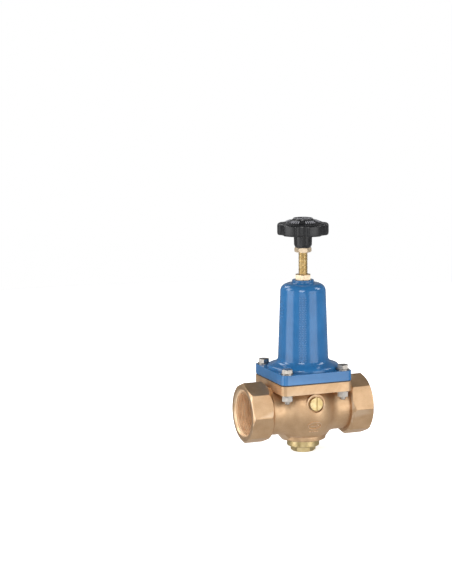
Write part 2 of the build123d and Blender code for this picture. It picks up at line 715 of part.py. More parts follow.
def wheel_rim():
    """Lobed rim: a rounded disc with a shallow scallop between each two lobes."""
    disc = turned(
        (0, WHEEL_UNDERSIDE),
        (WHEEL_RADIUS - WHEEL_RIM_BEVEL, WHEEL_UNDERSIDE, 3),
        (WHEEL_RADIUS, WHEEL_UNDERSIDE + WHEEL_RIM_BEVEL, 3),
        (WHEEL_RADIUS, WHEEL_RIM_TOP, 3),
        (WHEEL_CROWN_RADIUS, WHEEL_CROWN_TOP - WHEEL_CROWN_DROP, 10),
        (0, WHEEL_CROWN_TOP),
    )
    reach = WHEEL_RADIUS - WHEEL_SCALLOP_DEPTH + WHEEL_SCALLOP_RADIUS
    cutter = rod(WHEEL_SCALLOP_RADIUS, WHEEL_UNDERSIDE - 1, WHEEL_CROWN_TOP + 1)
    start = WHEEL_SCALLOP_BEARING - 90
    scallops = [place * cutter for place in PolarLocations(reach, WHEEL_LOBES, start)]
    return disc - scallops


def handwheel():
    """Moulded handwheel with a lobed rim, a domed top and a many-sided hub."""
    hub_top = WHEEL_UNDERSIDE + WHEEL_HUB_OVERLAP
    hub_outline = Pos(0, 0, JAM_NUT_TOP) * RegularPolygon(WHEEL_HUB_RADIUS, WHEEL_HUB_SIDES)
    hub = extrude(hub_outline, hub_top - JAM_NUT_TOP)
    hub &= turned(
        (0, JAM_NUT_TOP),
        (WHEEL_HUB_BEVEL_RADIUS, JAM_NUT_TOP),
        (WHEEL_HUB_RADIUS, JAM_NUT_TOP + WHEEL_HUB_BEVEL_HEIGHT),
        (WHEEL_HUB_RADIUS, hub_top),
        (0, hub_top),
    )
    return hub + wheel_rim() - rod(INSERT_RADIUS, JAM_NUT_TOP, SPINDLE_TOP)


def handwheel_insert():
    """Threaded brass insert moulded into the handwheel."""
    return washer(INSERT_RADIUS, M12_RADIUS, JAM_NUT_TOP, SPINDLE_TOP)


def export(name, shape):
    """Writes one sub-part, moved so that the origin is where the inlet port's thread begins."""
    export_step(Pos(PORT_REACH - PORT_MOUTH_BEVEL, 0, 0) * shape, f"parts/{name}.step")


PARTS = {
    "valve_body": valve_body(),
    "seat_ring": seat_ring(),
    "gauge_plug_front": on_front_pad(gauge_plug()),
    "gauge_plug_rear": on_rear_pad(gauge_plug()),
    "gauge_seal_front": on_front_pad(gauge_plug_seal()),
    "gauge_seal_rear": on_rear_pad(gauge_plug_seal()),
    "bottom_cap": bottom_cap(),
    "bottom_cap_seal": bottom_cap_seal(),
    "guide_bush": guide_bush(),
    "stem": stem(),
    "poppet": poppet(),
    "poppet_seal": poppet_seal(),
    "seal_retainer": seal_retainer(),
    "poppet_nut": poppet_nut(),
    "closing_spring": closing_spring(),
    "lower_diaphragm_plate": lower_diaphragm_plate(),
    "diaphragm": diaphragm(),
    "upper_diaphragm_plate": upper_diaphragm_plate(),
    "stem_washer": stem_washer(),
    "stem_nut": stem_nut(),
    "flange_bolts": at_bolts(flange_bolt()),
    "flange_washers": at_bolts(flange_washer_pair()),
    "flange_nuts": at_bolts(flange_nut()),
    "spring_bonnet": spring_bonnet(),
    "bonnet_bush": bonnet_bush(),
    "set_spring": set_spring(),
    "upper_spring_plate": upper_spring_plate(),
    "thrust_ball": thrust_ball(),
    "adjusting_spindle": adjusting_spindle(),
    "lock_nut": lock_nut(),
    "jam_nut": jam_nut(),
    "handwheel": handwheel(),
    "handwheel_insert": handwheel_insert(),
}

os.makedirs("parts", exist_ok=True)
for part_name, part_shape in PARTS.items():
    export(part_name, part_shape)
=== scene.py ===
import json
from math import ceil, cos, degrees, hypot, pi, radians, sin, sqrt

import bmesh
import bpy
from mathutils import Matrix, Quaternion, Vector


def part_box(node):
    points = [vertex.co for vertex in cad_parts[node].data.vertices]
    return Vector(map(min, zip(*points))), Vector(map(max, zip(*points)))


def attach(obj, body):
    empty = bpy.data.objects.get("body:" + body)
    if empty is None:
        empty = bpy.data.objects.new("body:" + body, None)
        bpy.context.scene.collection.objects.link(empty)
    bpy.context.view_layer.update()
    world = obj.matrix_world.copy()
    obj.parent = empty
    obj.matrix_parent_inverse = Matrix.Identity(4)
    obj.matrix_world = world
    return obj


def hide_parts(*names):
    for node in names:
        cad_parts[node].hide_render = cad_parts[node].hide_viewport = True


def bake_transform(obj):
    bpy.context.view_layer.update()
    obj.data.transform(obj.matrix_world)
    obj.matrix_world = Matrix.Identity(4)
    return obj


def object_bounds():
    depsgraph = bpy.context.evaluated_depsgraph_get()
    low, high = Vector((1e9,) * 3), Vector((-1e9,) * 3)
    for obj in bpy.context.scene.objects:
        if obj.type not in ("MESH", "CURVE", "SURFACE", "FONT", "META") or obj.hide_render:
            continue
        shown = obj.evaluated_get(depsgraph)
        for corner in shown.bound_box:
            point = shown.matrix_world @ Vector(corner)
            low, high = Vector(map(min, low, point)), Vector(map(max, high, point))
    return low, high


# Looks of the pressure reducing valve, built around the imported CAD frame.
# Blender works in metres; a size whose name or comment says mm is in millimetres.
# The valve axis is the vertical through the middle of the body, and the pipe axis is at height 0.
# Directions around the valve are bearings in degrees: 0 is the front (-Y), 90 the outlet side (+X).

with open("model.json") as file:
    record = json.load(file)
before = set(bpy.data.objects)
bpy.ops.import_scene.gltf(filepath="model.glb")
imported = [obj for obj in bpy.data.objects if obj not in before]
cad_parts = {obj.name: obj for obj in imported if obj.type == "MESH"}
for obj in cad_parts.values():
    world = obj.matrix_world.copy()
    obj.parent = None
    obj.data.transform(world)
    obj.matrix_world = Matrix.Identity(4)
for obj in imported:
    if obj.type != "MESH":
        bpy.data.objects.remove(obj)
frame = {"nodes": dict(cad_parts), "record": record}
CAD_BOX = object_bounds()

MM = 0.001
BODY_LOW, BODY_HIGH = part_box("valve_body")
AXIS = Vector(((BODY_LOW.x + BODY_HIGH.x) / 2, (BODY_LOW.y + BODY_HIGH.y) / 2, 0))
PORT_REACH = (BODY_HIGH.x - BODY_LOW.x) / 2
VIEW_BEARING = -23.53                # where the camera stands
UP = Vector((0, 0, 1))

WELD = 1e-6                          # vertices closer together than this become one
ON_PLANE = 1e-7                      # a vertex this close to a plane lies on it
SHARP_EDGE = radians(32)             # edges sharper than this are not shaded smooth


def outward(bearing):
    """Level unit vector pointing away from the valve axis at a bearing."""
    turn = radians(bearing)
    return Vector((sin(turn), -cos(turn), 0))


# Mesh helpers

def new_object(name, builder, slot, body=None, material=None):
    """Turns a bmesh into an object in a slot's finish, or in a special version of that finish."""
    bmesh.ops.recalc_face_normals(builder, faces=builder.faces)
    for edge in builder.edges:
        edge.smooth = edge.calc_face_angle(pi) < SHARP_EDGE
    for face in builder.faces:
        face.smooth = True
    mesh = bpy.data.meshes.new(name)
    builder.to_mesh(mesh)
    builder.free()
    mesh.materials.append(MATERIALS[material or slot])
    thing = bpy.data.objects.new(name, mesh)
    bpy.context.scene.collection.objects.link(thing)
    if body:
        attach(thing, body)
    return thing


def skin(builder, rings, closed=False):
    """Adds quads between neighbouring rings of points, and returns the rings of vertices."""
    made = [[builder.verts.new(point) for point in ring] for ring in rings]
    pairs = list(zip(made, made[1:]))
    if closed:
        pairs.append((made[-1], made[0]))
    for near, far in pairs:
        for k in range(len(near)):
            n = (k + 1) % len(near)
            builder.faces.new((near[k], near[n], far[n], far[k]))
    return made


def rounded(corners, steps=4):
    """Points along an open outline of (across, up, rounding), its corners replaced by curves."""
    points = []
    for i, (across, up, rounding) in enumerate(corners):
        here = Vector((across, up))
        if rounding == 0:
            points.append(here)
            continue
        before = (Vector(corners[i - 1][:2]) - here).normalized() * rounding
        after = (Vector(corners[i + 1][:2]) - here).normalized() * rounding
        for step in range(steps + 1):
            t = step / steps
            points.append(here + before * (1 - t) ** 2 + after * t ** 2)
    return points


def smoothstep(value, low, high):
    """0 below low, 1 above high, and a smooth rise between."""
    t = min(max((value - low) / (high - low), 0), 1)
    return t * t * (3 - 2 * t)


# Castings, whose edges are rounded in the mould

CASTING_ROUNDING = 0.9 * MM
FLAT_EDGE = radians(0.5)             # facets that meet more flatly than this become one face
ROUNDED_EDGE = radians(28)           # edges sharper than this are rounded


def rounded_casting(node, name, slot):
    """A copy of a CAD casting with rounded edges in place of its sharp ones."""
    builder = bmesh.new()
    builder.from_mesh(frame["nodes"][node].data)
    bmesh.ops.remove_doubles(builder, verts=builder.verts, dist=WELD)
    bmesh.ops.dissolve_limit(
        builder, angle_limit=FLAT_EDGE, verts=builder.verts, edges=builder.edges
    )
    casting = new_object(name, builder, slot, "housing")
    bevel = casting.modifiers.new("rounding", "BEVEL")
    bevel.width = CASTING_ROUNDING
    bevel.segments = 3
    bevel.limit_method = "ANGLE"
    bevel.angle_limit = ROUNDED_EDGE
    bevel.harden_normals = True
    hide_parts(node)


# Screw threads

THREAD_ROWS = 10                     # rows of vertices in one turn of a thread
THREAD_FLANK = (0.22, 0.84)          # where a flank starts and ends between root and crest
THREAD_RUNOUT = 0.8                  # turns over which a thread runs out at its ends


def threaded_wall(builder, pitch, crest, root, end_radius, low, high, around):
    """Adds a helical thread along Z between two heights; it runs out to end_radius at both ends."""
    turns = ceil((high - low) / pitch) + 2
    rows = []
    for i in range(turns * THREAD_ROWS + 1):
        share = i % THREAD_ROWS / THREAD_ROWS
        radius = root + (crest - root) * smoothstep(min(share, 1 - share) * 2, *THREAD_FLANK)
        row = []
        for k in range(around):
            turn = 2 * pi * k / around
            height = low + pitch * (i / THREAD_ROWS + k / around - 1)
            fade = smoothstep(min(height - low, high - height) / pitch, 0, THREAD_RUNOUT)
            reach = end_radius + (radius - end_radius) * fade
            height = min(max(height, low), high)
            row.append(builder.verts.new((reach * cos(turn), reach * sin(turn), height)))
        rows.append(row)
    for i in range(len(rows) - 1):
        for k in range(around - 1):
            builder.faces.new((rows[i][k], rows[i][k + 1], rows[i + 1][k + 1], rows[i + 1][k]))
        seam = i + THREAD_ROWS
        if seam + 1 < len(rows):
            builder.faces.new((rows[i][-1], rows[seam][0], rows[seam + 1][0], rows[i + 1][-1]))
    bmesh.ops.remove_doubles(builder, verts=builder.verts, dist=ON_PLANE)
    bmesh.ops.delete(builder, geom=[v for v in builder.verts if not v.link_faces], context="VERTS")


def open_loop(builder, height):
    """Open edges of a threaded wall at one of its ends."""
    return [e for e in builder.edges
            if e.is_boundary and all(abs(v.co.z - height) < ON_PLANE for v in e.verts)]


def extend(builder, loop, radius, height):
    """Extrudes a round open loop to another radius and height, and returns the new loop."""
    made = bmesh.ops.extrude_edge_only(builder, edges=loop)["geom"]
    for vertex in made:
        if isinstance(vertex, bmesh.types.BMVert):
            scale = radius / hypot(vertex.co.x, vertex.co.y)
            vertex.co = (vertex.co.x * scale, vertex.co.y * scale, height)
    return [e for e in made if isinstance(e, bmesh.types.BMEdge)]


SPINDLE_PITCH = 1.75 * MM            # M12 coarse
SPINDLE_THREAD_DEPTH = 1.07 * MM
SPINDLE_CHAMFER = 0.4 * MM
SPINDLE_COLUMNS = 48
CUP_EDGE = 0.9                       # radius of the ball's cup at its mouth, as a share of the ball's


def threaded_spindle():
    """The adjusting spindle with its M12 thread, and the cup for the thrust ball in its lower end."""
    low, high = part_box("adjusting_spindle")
    ball_low, ball_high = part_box("thrust_ball")
    cup = (ball_high.x - ball_low.x) / 2
    crest = (high.x - low.x) / 2
    root = crest - SPINDLE_THREAD_DEPTH
    builder = bmesh.new()
    wall_low = low.z + SPINDLE_CHAMFER
    wall_high = high.z - SPINDLE_CHAMFER
    threaded_wall(
        builder, SPINDLE_PITCH, crest, root, root, wall_low, wall_high, SPINDLE_COLUMNS
    )
    bottom = extend(builder, open_loop(builder, wall_low), root - SPINDLE_CHAMFER, low.z)
    for share in (CUP_EDGE, 0.6, 0.3):
        depth = cup * (sqrt(1 - share * share) - sqrt(1 - CUP_EDGE * CUP_EDGE))
        bottom = extend(builder, bottom, cup * share, low.z + depth)
    bmesh.ops.contextual_create(builder, geom=bottom)
    top = extend(builder, open_loop(builder, wall_high), root - SPINDLE_CHAMFER, high.z)
    bmesh.ops.contextual_create(builder, geom=top)
    bmesh.ops.translate(builder, verts=builder.verts, vec=AXIS)
    spindle = new_object("threaded_spindle", builder, "brass", "spindle")
    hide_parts("adjusting_spindle")


PORT_PITCH = 2.309 * MM              # G 2: 11 threads to the inch
PORT_THREAD_DEPTH = 1.35 * MM
PORT_COLUMNS = 144
LINER_GAP = 0.02 * MM                # between the thread's back and the wall of the CAD bore
LINER_WALL = 0.1 * MM                # thickness of the liner behind the thread's root


def port_threads():
    """Thread of each port, as a thin threaded sleeve lining the bore."""
    for mount in frame["record"]["mounts"]:
        back = mount["dims"]["r_mm"] * MM - LINER_GAP
        root = back - LINER_WALL
        deep = -mount["dims"]["length_mm"] * MM
        builder = bmesh.new()
        crest = root - PORT_THREAD_DEPTH
        threaded_wall(builder, PORT_PITCH, crest, root, root, deep, 0.0, PORT_COLUMNS)
        inner_end = open_loop(builder, deep)
        outer = extend(builder, open_loop(builder, 0.0), back, 0.0)
        outer = extend(builder, outer, back, deep)
        bmesh.ops.bridge_loops(builder, edges=outer + inner_end)
        axis = Vector(mount["axis"])
        stand = axis.to_track_quat("Z", "Y").to_matrix().to_4x4()
        place = Matrix.Translation(mount["pos_m"]) @ stand
        bmesh.ops.transform(builder, matrix=place, verts=builder.verts)
        name = mount["name"] + "_thread"
        new_object(name, builder, "cast_bronze", "housing", material="machined_bronze")


# Springs and diaphragm, built in pieces

COIL_STEPS = 40                      # rings of points in one turn of a spring
WIRE_SIDES = 12
SET_SPRING_COILS = 7
SET_SPRING_WIRE = 6.0 * MM
SET_SPRING_FOOT = 1.75               # turns from the bottom that make the spring's foot
CLOSING_SPRING_COILS = 5
CLOSING_SPRING_WIRE = 1.8 * MM


def coil_rings(node, coils, wire):
    """Rings of points along a coil spring with closed ends that fills a node's box."""
    low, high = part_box(node)
    radius = (high.x - low.x - wire) / 2
    rings = []
    for i in range(coils * COIL_STEPS + 1):
        done = i / COIL_STEPS
        closed = min(done, 1) + max(done - coils + 1, 0)
        active = min(max(done - 1, 0), coils - 2) / (coils - 2)
        rise = (high.z - low.z - 3 * wire) * active + closed * wire
        turn = 2 * pi * done
        out = Vector((cos(turn), sin(turn), 0))
        middle = AXIS + out * radius + UP * (low.z + wire / 2 + rise)
        ring = []
        for k in range(WIRE_SIDES):
            roll = 2 * pi * k / WIRE_SIDES
            ring.append(middle + (out * cos(roll) + UP * sin(roll)) * wire / 2)
        rings.append(ring)
    return rings


def spring_piece(node, name, rings, finish, lower_body, upper_body, low, high):
    """A length of coil spring, skinned from rings of points and capped at both ends. The two bodies and
    the two heights it is given are not used.
    """
    builder = bmesh.new()
    made = skin(builder, rings)
    builder.faces.new(made[0])
    builder.faces.new(made[-1])
    piece = new_object(name, builder, finish)
    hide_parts(node)
    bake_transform(piece)


def set_spring():
    """Set spring in two lengths: a foot of its lowest turns, at the diaphragm plate, and a head of the
    rest, at the spindle end.
    """
    low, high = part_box("set_spring")
    rings = coil_rings("set_spring", SET_SPRING_COILS, SET_SPRING_WIRE)
    cut = round(COIL_STEPS * SET_SPRING_FOOT)
    foot_top = min(point.z for point in rings[cut])
    head_bottom = max(point.z for point in rings[cut])
    foot = ("set_spring_foot", rings[:cut + 1], "spring_steel", "closure", "housing")
    head = ("set_spring_head", rings[cut:], "spring_steel", "housing", "spring_follower")
    spring_piece("set_spring", *foot, low.z, foot_top)
    spring_piece("set_spring", *head, head_bottom, high.z)


def closing_spring():
    """Light spring in the bottom cap that pushes the stem up."""
    low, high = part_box("closing_spring")
    rings = coil_rings("closing_spring", CLOSING_SPRING_COILS, CLOSING_SPRING_WIRE)
    coil = ("closing_spring_coil", rings, "stainless", "housing", "closure")
    spring_piece("closing_spring", *coil, low.z, high.z)


DIAPHRAGM_SECTORS = 12


def diaphragm_sectors():
    """The diaphragm cut into sectors round the valve axis."""
    half = 180 / DIAPHRAGM_SECTORS
    for sector in range(DIAPHRAGM_SECTORS):
        bearing = half * (2 * sector + 1)
        builder = bmesh.new()
        builder.from_mesh(frame["nodes"]["diaphragm"].data)
        bmesh.ops.remove_doubles(builder, verts=builder.verts, dist=WELD)
        for away in (bearing + half + 90, bearing - half - 90):
            everything = builder.verts[:] + builder.edges[:] + builder.faces[:]
            cut = bmesh.ops.bisect_plane(
                builder,
                geom=everything,
                dist=ON_PLANE,
                plane_co=AXIS,
                plane_no=outward(away),
                clear_outer=True,
            )
            rim = [e for e in cut["geom_cut"] if isinstance(e, bmesh.types.BMEdge)]
            bmesh.ops.edgeloop_fill(builder, edges=rim)
        piece = new_object(f"diaphragm_sector_{sector + 1}", builder, "rubber")
        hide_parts("diaphragm")
        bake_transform(piece)


# Handwheel; all its sizes are in mm

WHEEL_LOBES = 6
SCALLOP_BEARING = -26.0
SCALLOP_RADIUS = 14.0
SCALLOP_DEPTH = 3.0
LOBE_SHOULDER = 1.6                  # how gently a scallop runs into the lobes beside it
ROUND_REACH = 17.0                   # the wheel is round inside this radius
LOBED_REACH = 29.0                   # and fully lobed outside this one
TOP_CENTRE = 0.05                    # radius of the small flat that closes the top's middle
HUB_RADIUS = 11.5
HUB_SIDES = 12
INSERT_RADIUS = 8.5
WHEEL_COLUMNS = 288
WHEEL_LOW, WHEEL_HIGH = (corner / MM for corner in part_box("handwheel"))
WHEEL_RADIUS = (WHEEL_HIGH.y - WHEEL_LOW.y) / 2
RIM_UNDERSIDE = WHEEL_LOW.z + 16.7
RIM_TOP = WHEEL_LOW.z + 31.5


def lobed_share(angle):
    """Reach of the lobed rim at an angle from +X, as a share of the wheel's radius."""
    middle = WHEEL_RADIUS - SCALLOP_DEPTH + SCALLOP_RADIUS
    period = 2 * pi / WHEEL_LOBES
    turn = (angle - radians(SCALLOP_BEARING - 90) + period / 2) % period - period / 2
    inside = SCALLOP_RADIUS ** 2 - (middle * sin(turn)) ** 2
    if inside <= 0:
        return 1.0
    reach = middle * cos(turn) - sqrt(inside)
    gap = reach - WHEEL_RADIUS
    if gap >= LOBE_SHOULDER:
        return 1.0
    if gap > -LOBE_SHOULDER:
        reach = WHEEL_RADIUS - (LOBE_SHOULDER - gap) ** 2 / (4 * LOBE_SHOULDER)
    return reach / WHEEL_RADIUS


def hub_share(angle):
    """Reach of the many-sided hub at an angle, as a share of its corner radius."""
    period = 2 * pi / HUB_SIDES
    return cos(period / 2) / cos(angle % period - period / 2)


def wheel_top():
    """Outline of the wheel's top from its middle to its rim, as (radius, height) points."""
    high = WHEEL_HIGH.z
    return rounded([
        (0.0, high - 1.0, 0),
        (10.6, high - 1.6, 0.2),
        (11.0, high - 0.4, 0.2),
        (12.6, high - 0.6, 0.4),
        (13.2, high - 2.8, 0.4),
        (18.0, high - 3.6, 2.5),
        (23.0, high - 5.8, 2.0),
        (25.0, RIM_TOP - 0.6, 0.8),
        (WHEEL_RADIUS - 3.0, RIM_TOP, 1.5),
        (WHEEL_RADIUS - 0.6, RIM_TOP - 1.2, 0.8),
        (WHEEL_RADIUS, RIM_TOP - 3.0, 0.9),
        (WHEEL_RADIUS, RIM_TOP - 6.0, 0),
    ])


def wheel_underside():
    """Outline of the wheel below its rim, in under the rim and down and up the hub."""
    return rounded([
        (WHEEL_RADIUS, RIM_UNDERSIDE + 2.6, 0),
        (WHEEL_RADIUS - 0.5, RIM_UNDERSIDE, 0.9),
        (WHEEL_RADIUS - 3.0, RIM_UNDERSIDE, 0.5),
        (WHEEL_RADIUS - 3.8, RIM_UNDERSIDE + 3.5, 1.0),
        (HUB_RADIUS + 3.0, RIM_UNDERSIDE + 3.5, 1.0),
        (HUB_RADIUS + 0.4, RIM_UNDERSIDE + 2.0, 1.2),
        (HUB_RADIUS, WHEEL_LOW.z + 3.4, 0.4),
        (HUB_RADIUS - 1.6, WHEEL_LOW.z, 0.2),
        (INSERT_RADIUS, WHEEL_LOW.z, 0),
        (INSERT_RADIUS, WHEEL_LOW.z + 26.8, 0),
    ])


def handwheel():
    """Moulded handwheel: lobed rim, stepped top, dished underside and a many-sided hub."""
    rings = []
    for reach, height in wheel_top() + wheel_underside():
        lobed = smoothstep(reach, ROUND_REACH, LOBED_REACH)
        on_hub = INSERT_RADIUS < reach < HUB_RADIUS + 0.2 and height < RIM_UNDERSIDE
        ring = []
        for k in range(WHEEL_COLUMNS):
            angle = 2 * pi * k / WHEEL_COLUMNS
            share = hub_share(angle) if on_hub else 1 + lobed * (lobed_share(angle) - 1)
            across = max(reach, TOP_CENTRE) * share
            ring.append(AXIS + Vector((across * cos(angle), across * sin(angle), height)) * MM)
        rings.append(ring)
    builder = bmesh.new()
    made = skin(builder, rings)
    builder.faces.new(made[0])
    builder.faces.new(made[-1])
    wheel = new_object("lobed_handwheel", builder, "black_plastic", "spindle")
    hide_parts("handwheel")


# Raised marks, drawn as strokes on a surface; all sizes are in mm

STROKE_SECTION = ((-0.5, -0.5), (-0.34, 1.0), (0.34, 1.0), (0.5, -0.5))   # shares of width, rise
RING_SWEEP = (0, 352.5, 47)          # start, sweep and steps of an arc that closes on itself


def raised_stroke(builder, surface, path, width, rise, closed=False):
    """Adds one raised stroke with sloping sides along a path of (across, up) points."""
    rings = []
    for i, point in enumerate(path):
        here = Vector(point)
        before = Vector(path[i - 1]) if closed or i else here
        after = Vector(path[(i + 1) % len(path)]) if closed or i < len(path) - 1 else here
        along = (after - before).normalized()
        side = Vector((-along.y, along.x))
        ring = []
        for across, lift in STROKE_SECTION:
            place, normal = surface(*(here + side * across * width))
            ring.append(place + normal * lift * rise * MM)
        rings.append(ring)
    made = skin(builder, rings, closed)
    if not closed:
        builder.faces.new(made[0])
        builder.faces.new(made[-1])


def arc(radius, start, sweep, steps):
    """Points of an arc about (0, 0), from an angle in degrees through a sweep."""
    angles = [radians(start + sweep * i / steps) for i in range(steps + 1)]
    return [(radius * cos(angle), radius * sin(angle)) for angle in angles]


BELL_FOOT = (32.6, 62.0)             # radius and height where the bell's side starts
BELL_TOP = (28.9, 162.3)             # and where it ends
GLOBE_RADIUS = 44.0


def bell_surface(bearing):
    """Bell's side at a bearing: across is distance round the bell, up is height."""
    def surface(across, up):
        share = (up - BELL_FOOT[1]) / (BELL_TOP[1] - BELL_FOOT[1])
        radius = BELL_FOOT[0] + (BELL_TOP[0] - BELL_FOOT[0]) * share
        out = outward(bearing + degrees(across / radius))
        return AXIS + (out * radius + UP * up) * MM, out

    return surface


def globe_surface(bearing, elevation):
    """Globe at a bearing and elevation: across and up are distances along the sphere."""
    def surface(across, up):
        tilt = radians(elevation) + up / GLOBE_RADIUS
        out = outward(bearing + degrees(across / GLOBE_RADIUS)) * cos(tilt)
        out.z = sin(tilt)
        return AXIS + out * GLOBE_RADIUS * MM, out

    return surface


def wheel_top_surface(across, up):
    """Top of the wheel in plan: across points to the outlet side, up to the back."""
    reach = hypot(across, up)
    outline = wheel_top()
    near, far = next(pair for pair in zip(outline, outline[1:]) if pair[1].x > reach)
    slope = (far.y - near.y) / (far.x - near.x)
    height = near.y + slope * (reach - near.x)
    out = Vector((across, up, 0)) / max(reach, 0.01)
    normal = (UP - out * slope).normalized()
    return AXIS + Vector((across, up, height)) * MM, normal


FRONT_MARK_ROWS = 29
FRONT_MARK_LOWEST = 64.0
FRONT_MARK_GAP = (3.7, 3.0)          # between columns and between rows
FRONT_MARK_HALF = (1.3, 0.8)         # half the size of one mark across and up
SIDE_MARK_BEARING = -84
SIDE_MARK_ROWS = 5
SIDE_MARK_LOWEST = 122.0
SIDE_MARK_GAP = 4.4
SIDE_MARK_HALF = 2.6
BELL_MARK_RISE = 0.6


def bell_marks():
    """Generic leaning dashes down the bell's front, and a short column of bars at its side."""
    builder = bmesh.new()
    front = bell_surface(VIEW_BEARING)
    half_across, half_up = FRONT_MARK_HALF
    for row in range(FRONT_MARK_ROWS):
        up = FRONT_MARK_LOWEST + row * FRONT_MARK_GAP[1]
        for column in (-1, 0, 1):
            lean = sin(row * 2.4 + column * 5.3)
            middle = column * FRONT_MARK_GAP[0]
            start = (middle - half_across, up - lean * half_up)
            end = (middle + half_across * abs(lean), up + lean * half_up)
            raised_stroke(builder, front, [start, end], 1.3, BELL_MARK_RISE)
    side = bell_surface(SIDE_MARK_BEARING)
    for row in range(SIDE_MARK_ROWS):
        up = SIDE_MARK_LOWEST + row * SIDE_MARK_GAP
        ends = [(-SIDE_MARK_HALF, up), (SIDE_MARK_HALF, up)]
        raised_stroke(builder, side, ends, 1.5, BELL_MARK_RISE)
    new_object("bell_marks", builder, "blue_paint", "housing")


OVAL_HALF_HEIGHT = 5.3
OVAL_STRETCH = 1.8                   # width of the oval for its height
BODY_MARK_BEARING = -2.0
BODY_MARK_ELEVATION = -20.0
BODY_MARK_RISE = 0.8
BODY_BARS = 4
BODY_BAR_GAP = 3.9


def body_marks():
    """Generic cast marks under the front plug: a flow arrow in an oval ring, and bars below."""
    builder = bmesh.new()
    surface = globe_surface(BODY_MARK_BEARING, BODY_MARK_ELEVATION)
    oval = [(across * OVAL_STRETCH, up) for across, up in arc(OVAL_HALF_HEIGHT, *RING_SWEEP)]
    raised_stroke(builder, surface, oval, 1.4, BODY_MARK_RISE, closed=True)
    shaft = [(-6.0, 0.0), (5.4, 0.0)]
    raised_stroke(builder, surface, shaft, 1.5, BODY_MARK_RISE)
    tip = [(2.2, 2.6), (5.8, 0.0), (2.2, -2.6)]
    raised_stroke(builder, surface, tip, 1.4, BODY_MARK_RISE)
    for bar in range(BODY_BARS):
        middle = (bar - (BODY_BARS - 1) / 2) * BODY_BAR_GAP
        raised_stroke(builder, surface, [(middle - 1.3, -9.8), (middle + 1.3, -9.8)], 2.0, 0.7)
    new_object("body_marks", builder, "cast_bronze", "housing")


WHEEL_MARK_RISE = 0.9
RING_MARK_RADIUS = 11.8
RING_MARK_RISE = 0.4
ARROW_RADIUS = 7.6
GRIP_BARS = 5
GRIP_BAR_STEP = 8.0                  # degrees between the grip bars of one lobe
GRIP_BAR_REACHES = (16.5, 18.5, 20.5, 22.0)


def wheel_marks():
    """Generic raised marks on the wheel: a ring, two turning arrows, plus and minus, and grip bars."""
    builder = bmesh.new()
    ring = arc(RING_MARK_RADIUS, *RING_SWEEP)
    raised_stroke(builder, wheel_top_surface, ring, 1.2, RING_MARK_RISE, closed=True)
    for side in (-1, 1):
        path = [(side * across, up) for across, up in arc(ARROW_RADIUS, -50, 120, 20)]
        raised_stroke(builder, wheel_top_surface, path, 1.3, WHEEL_MARK_RISE)
        tip_across, tip_up = path[-1]
        outer_barb = (tip_across + side * 2.4, tip_up - 0.6)
        inner_barb = (tip_across + side * 0.2, tip_up - 2.6)
        barbs = [outer_barb, path[-1], inner_barb]
        raised_stroke(builder, wheel_top_surface, barbs, 1.1, WHEEL_MARK_RISE)
        dash = [(side * 3 - 1.6, 0), (side * 3 + 1.6, 0)]
        raised_stroke(builder, wheel_top_surface, dash, 1.1, WHEEL_MARK_RISE)
    for end in (-1.6, 1.6):
        raised_stroke(builder, wheel_top_surface, [(3.0, 0.0), (3.0, end)], 1.1, WHEEL_MARK_RISE)
    for lobe in range(WHEEL_LOBES):
        middle = SCALLOP_BEARING - 90 + (lobe + 0.5) * 360 / WHEEL_LOBES
        for bar in range(GRIP_BARS):
            turn = radians(middle + (bar - GRIP_BARS // 2) * GRIP_BAR_STEP)
            path = [(reach * cos(turn), reach * sin(turn)) for reach in GRIP_BAR_REACHES]
            raised_stroke(builder, wheel_top_surface, path, 1.5, WHEEL_MARK_RISE)
    # The marks are paler grey as painted sheen, standing in for light catching them.
    new_object("wheel_marks", builder, "black_plastic", "spindle", material="painted_sheen_plastic")


# Materials

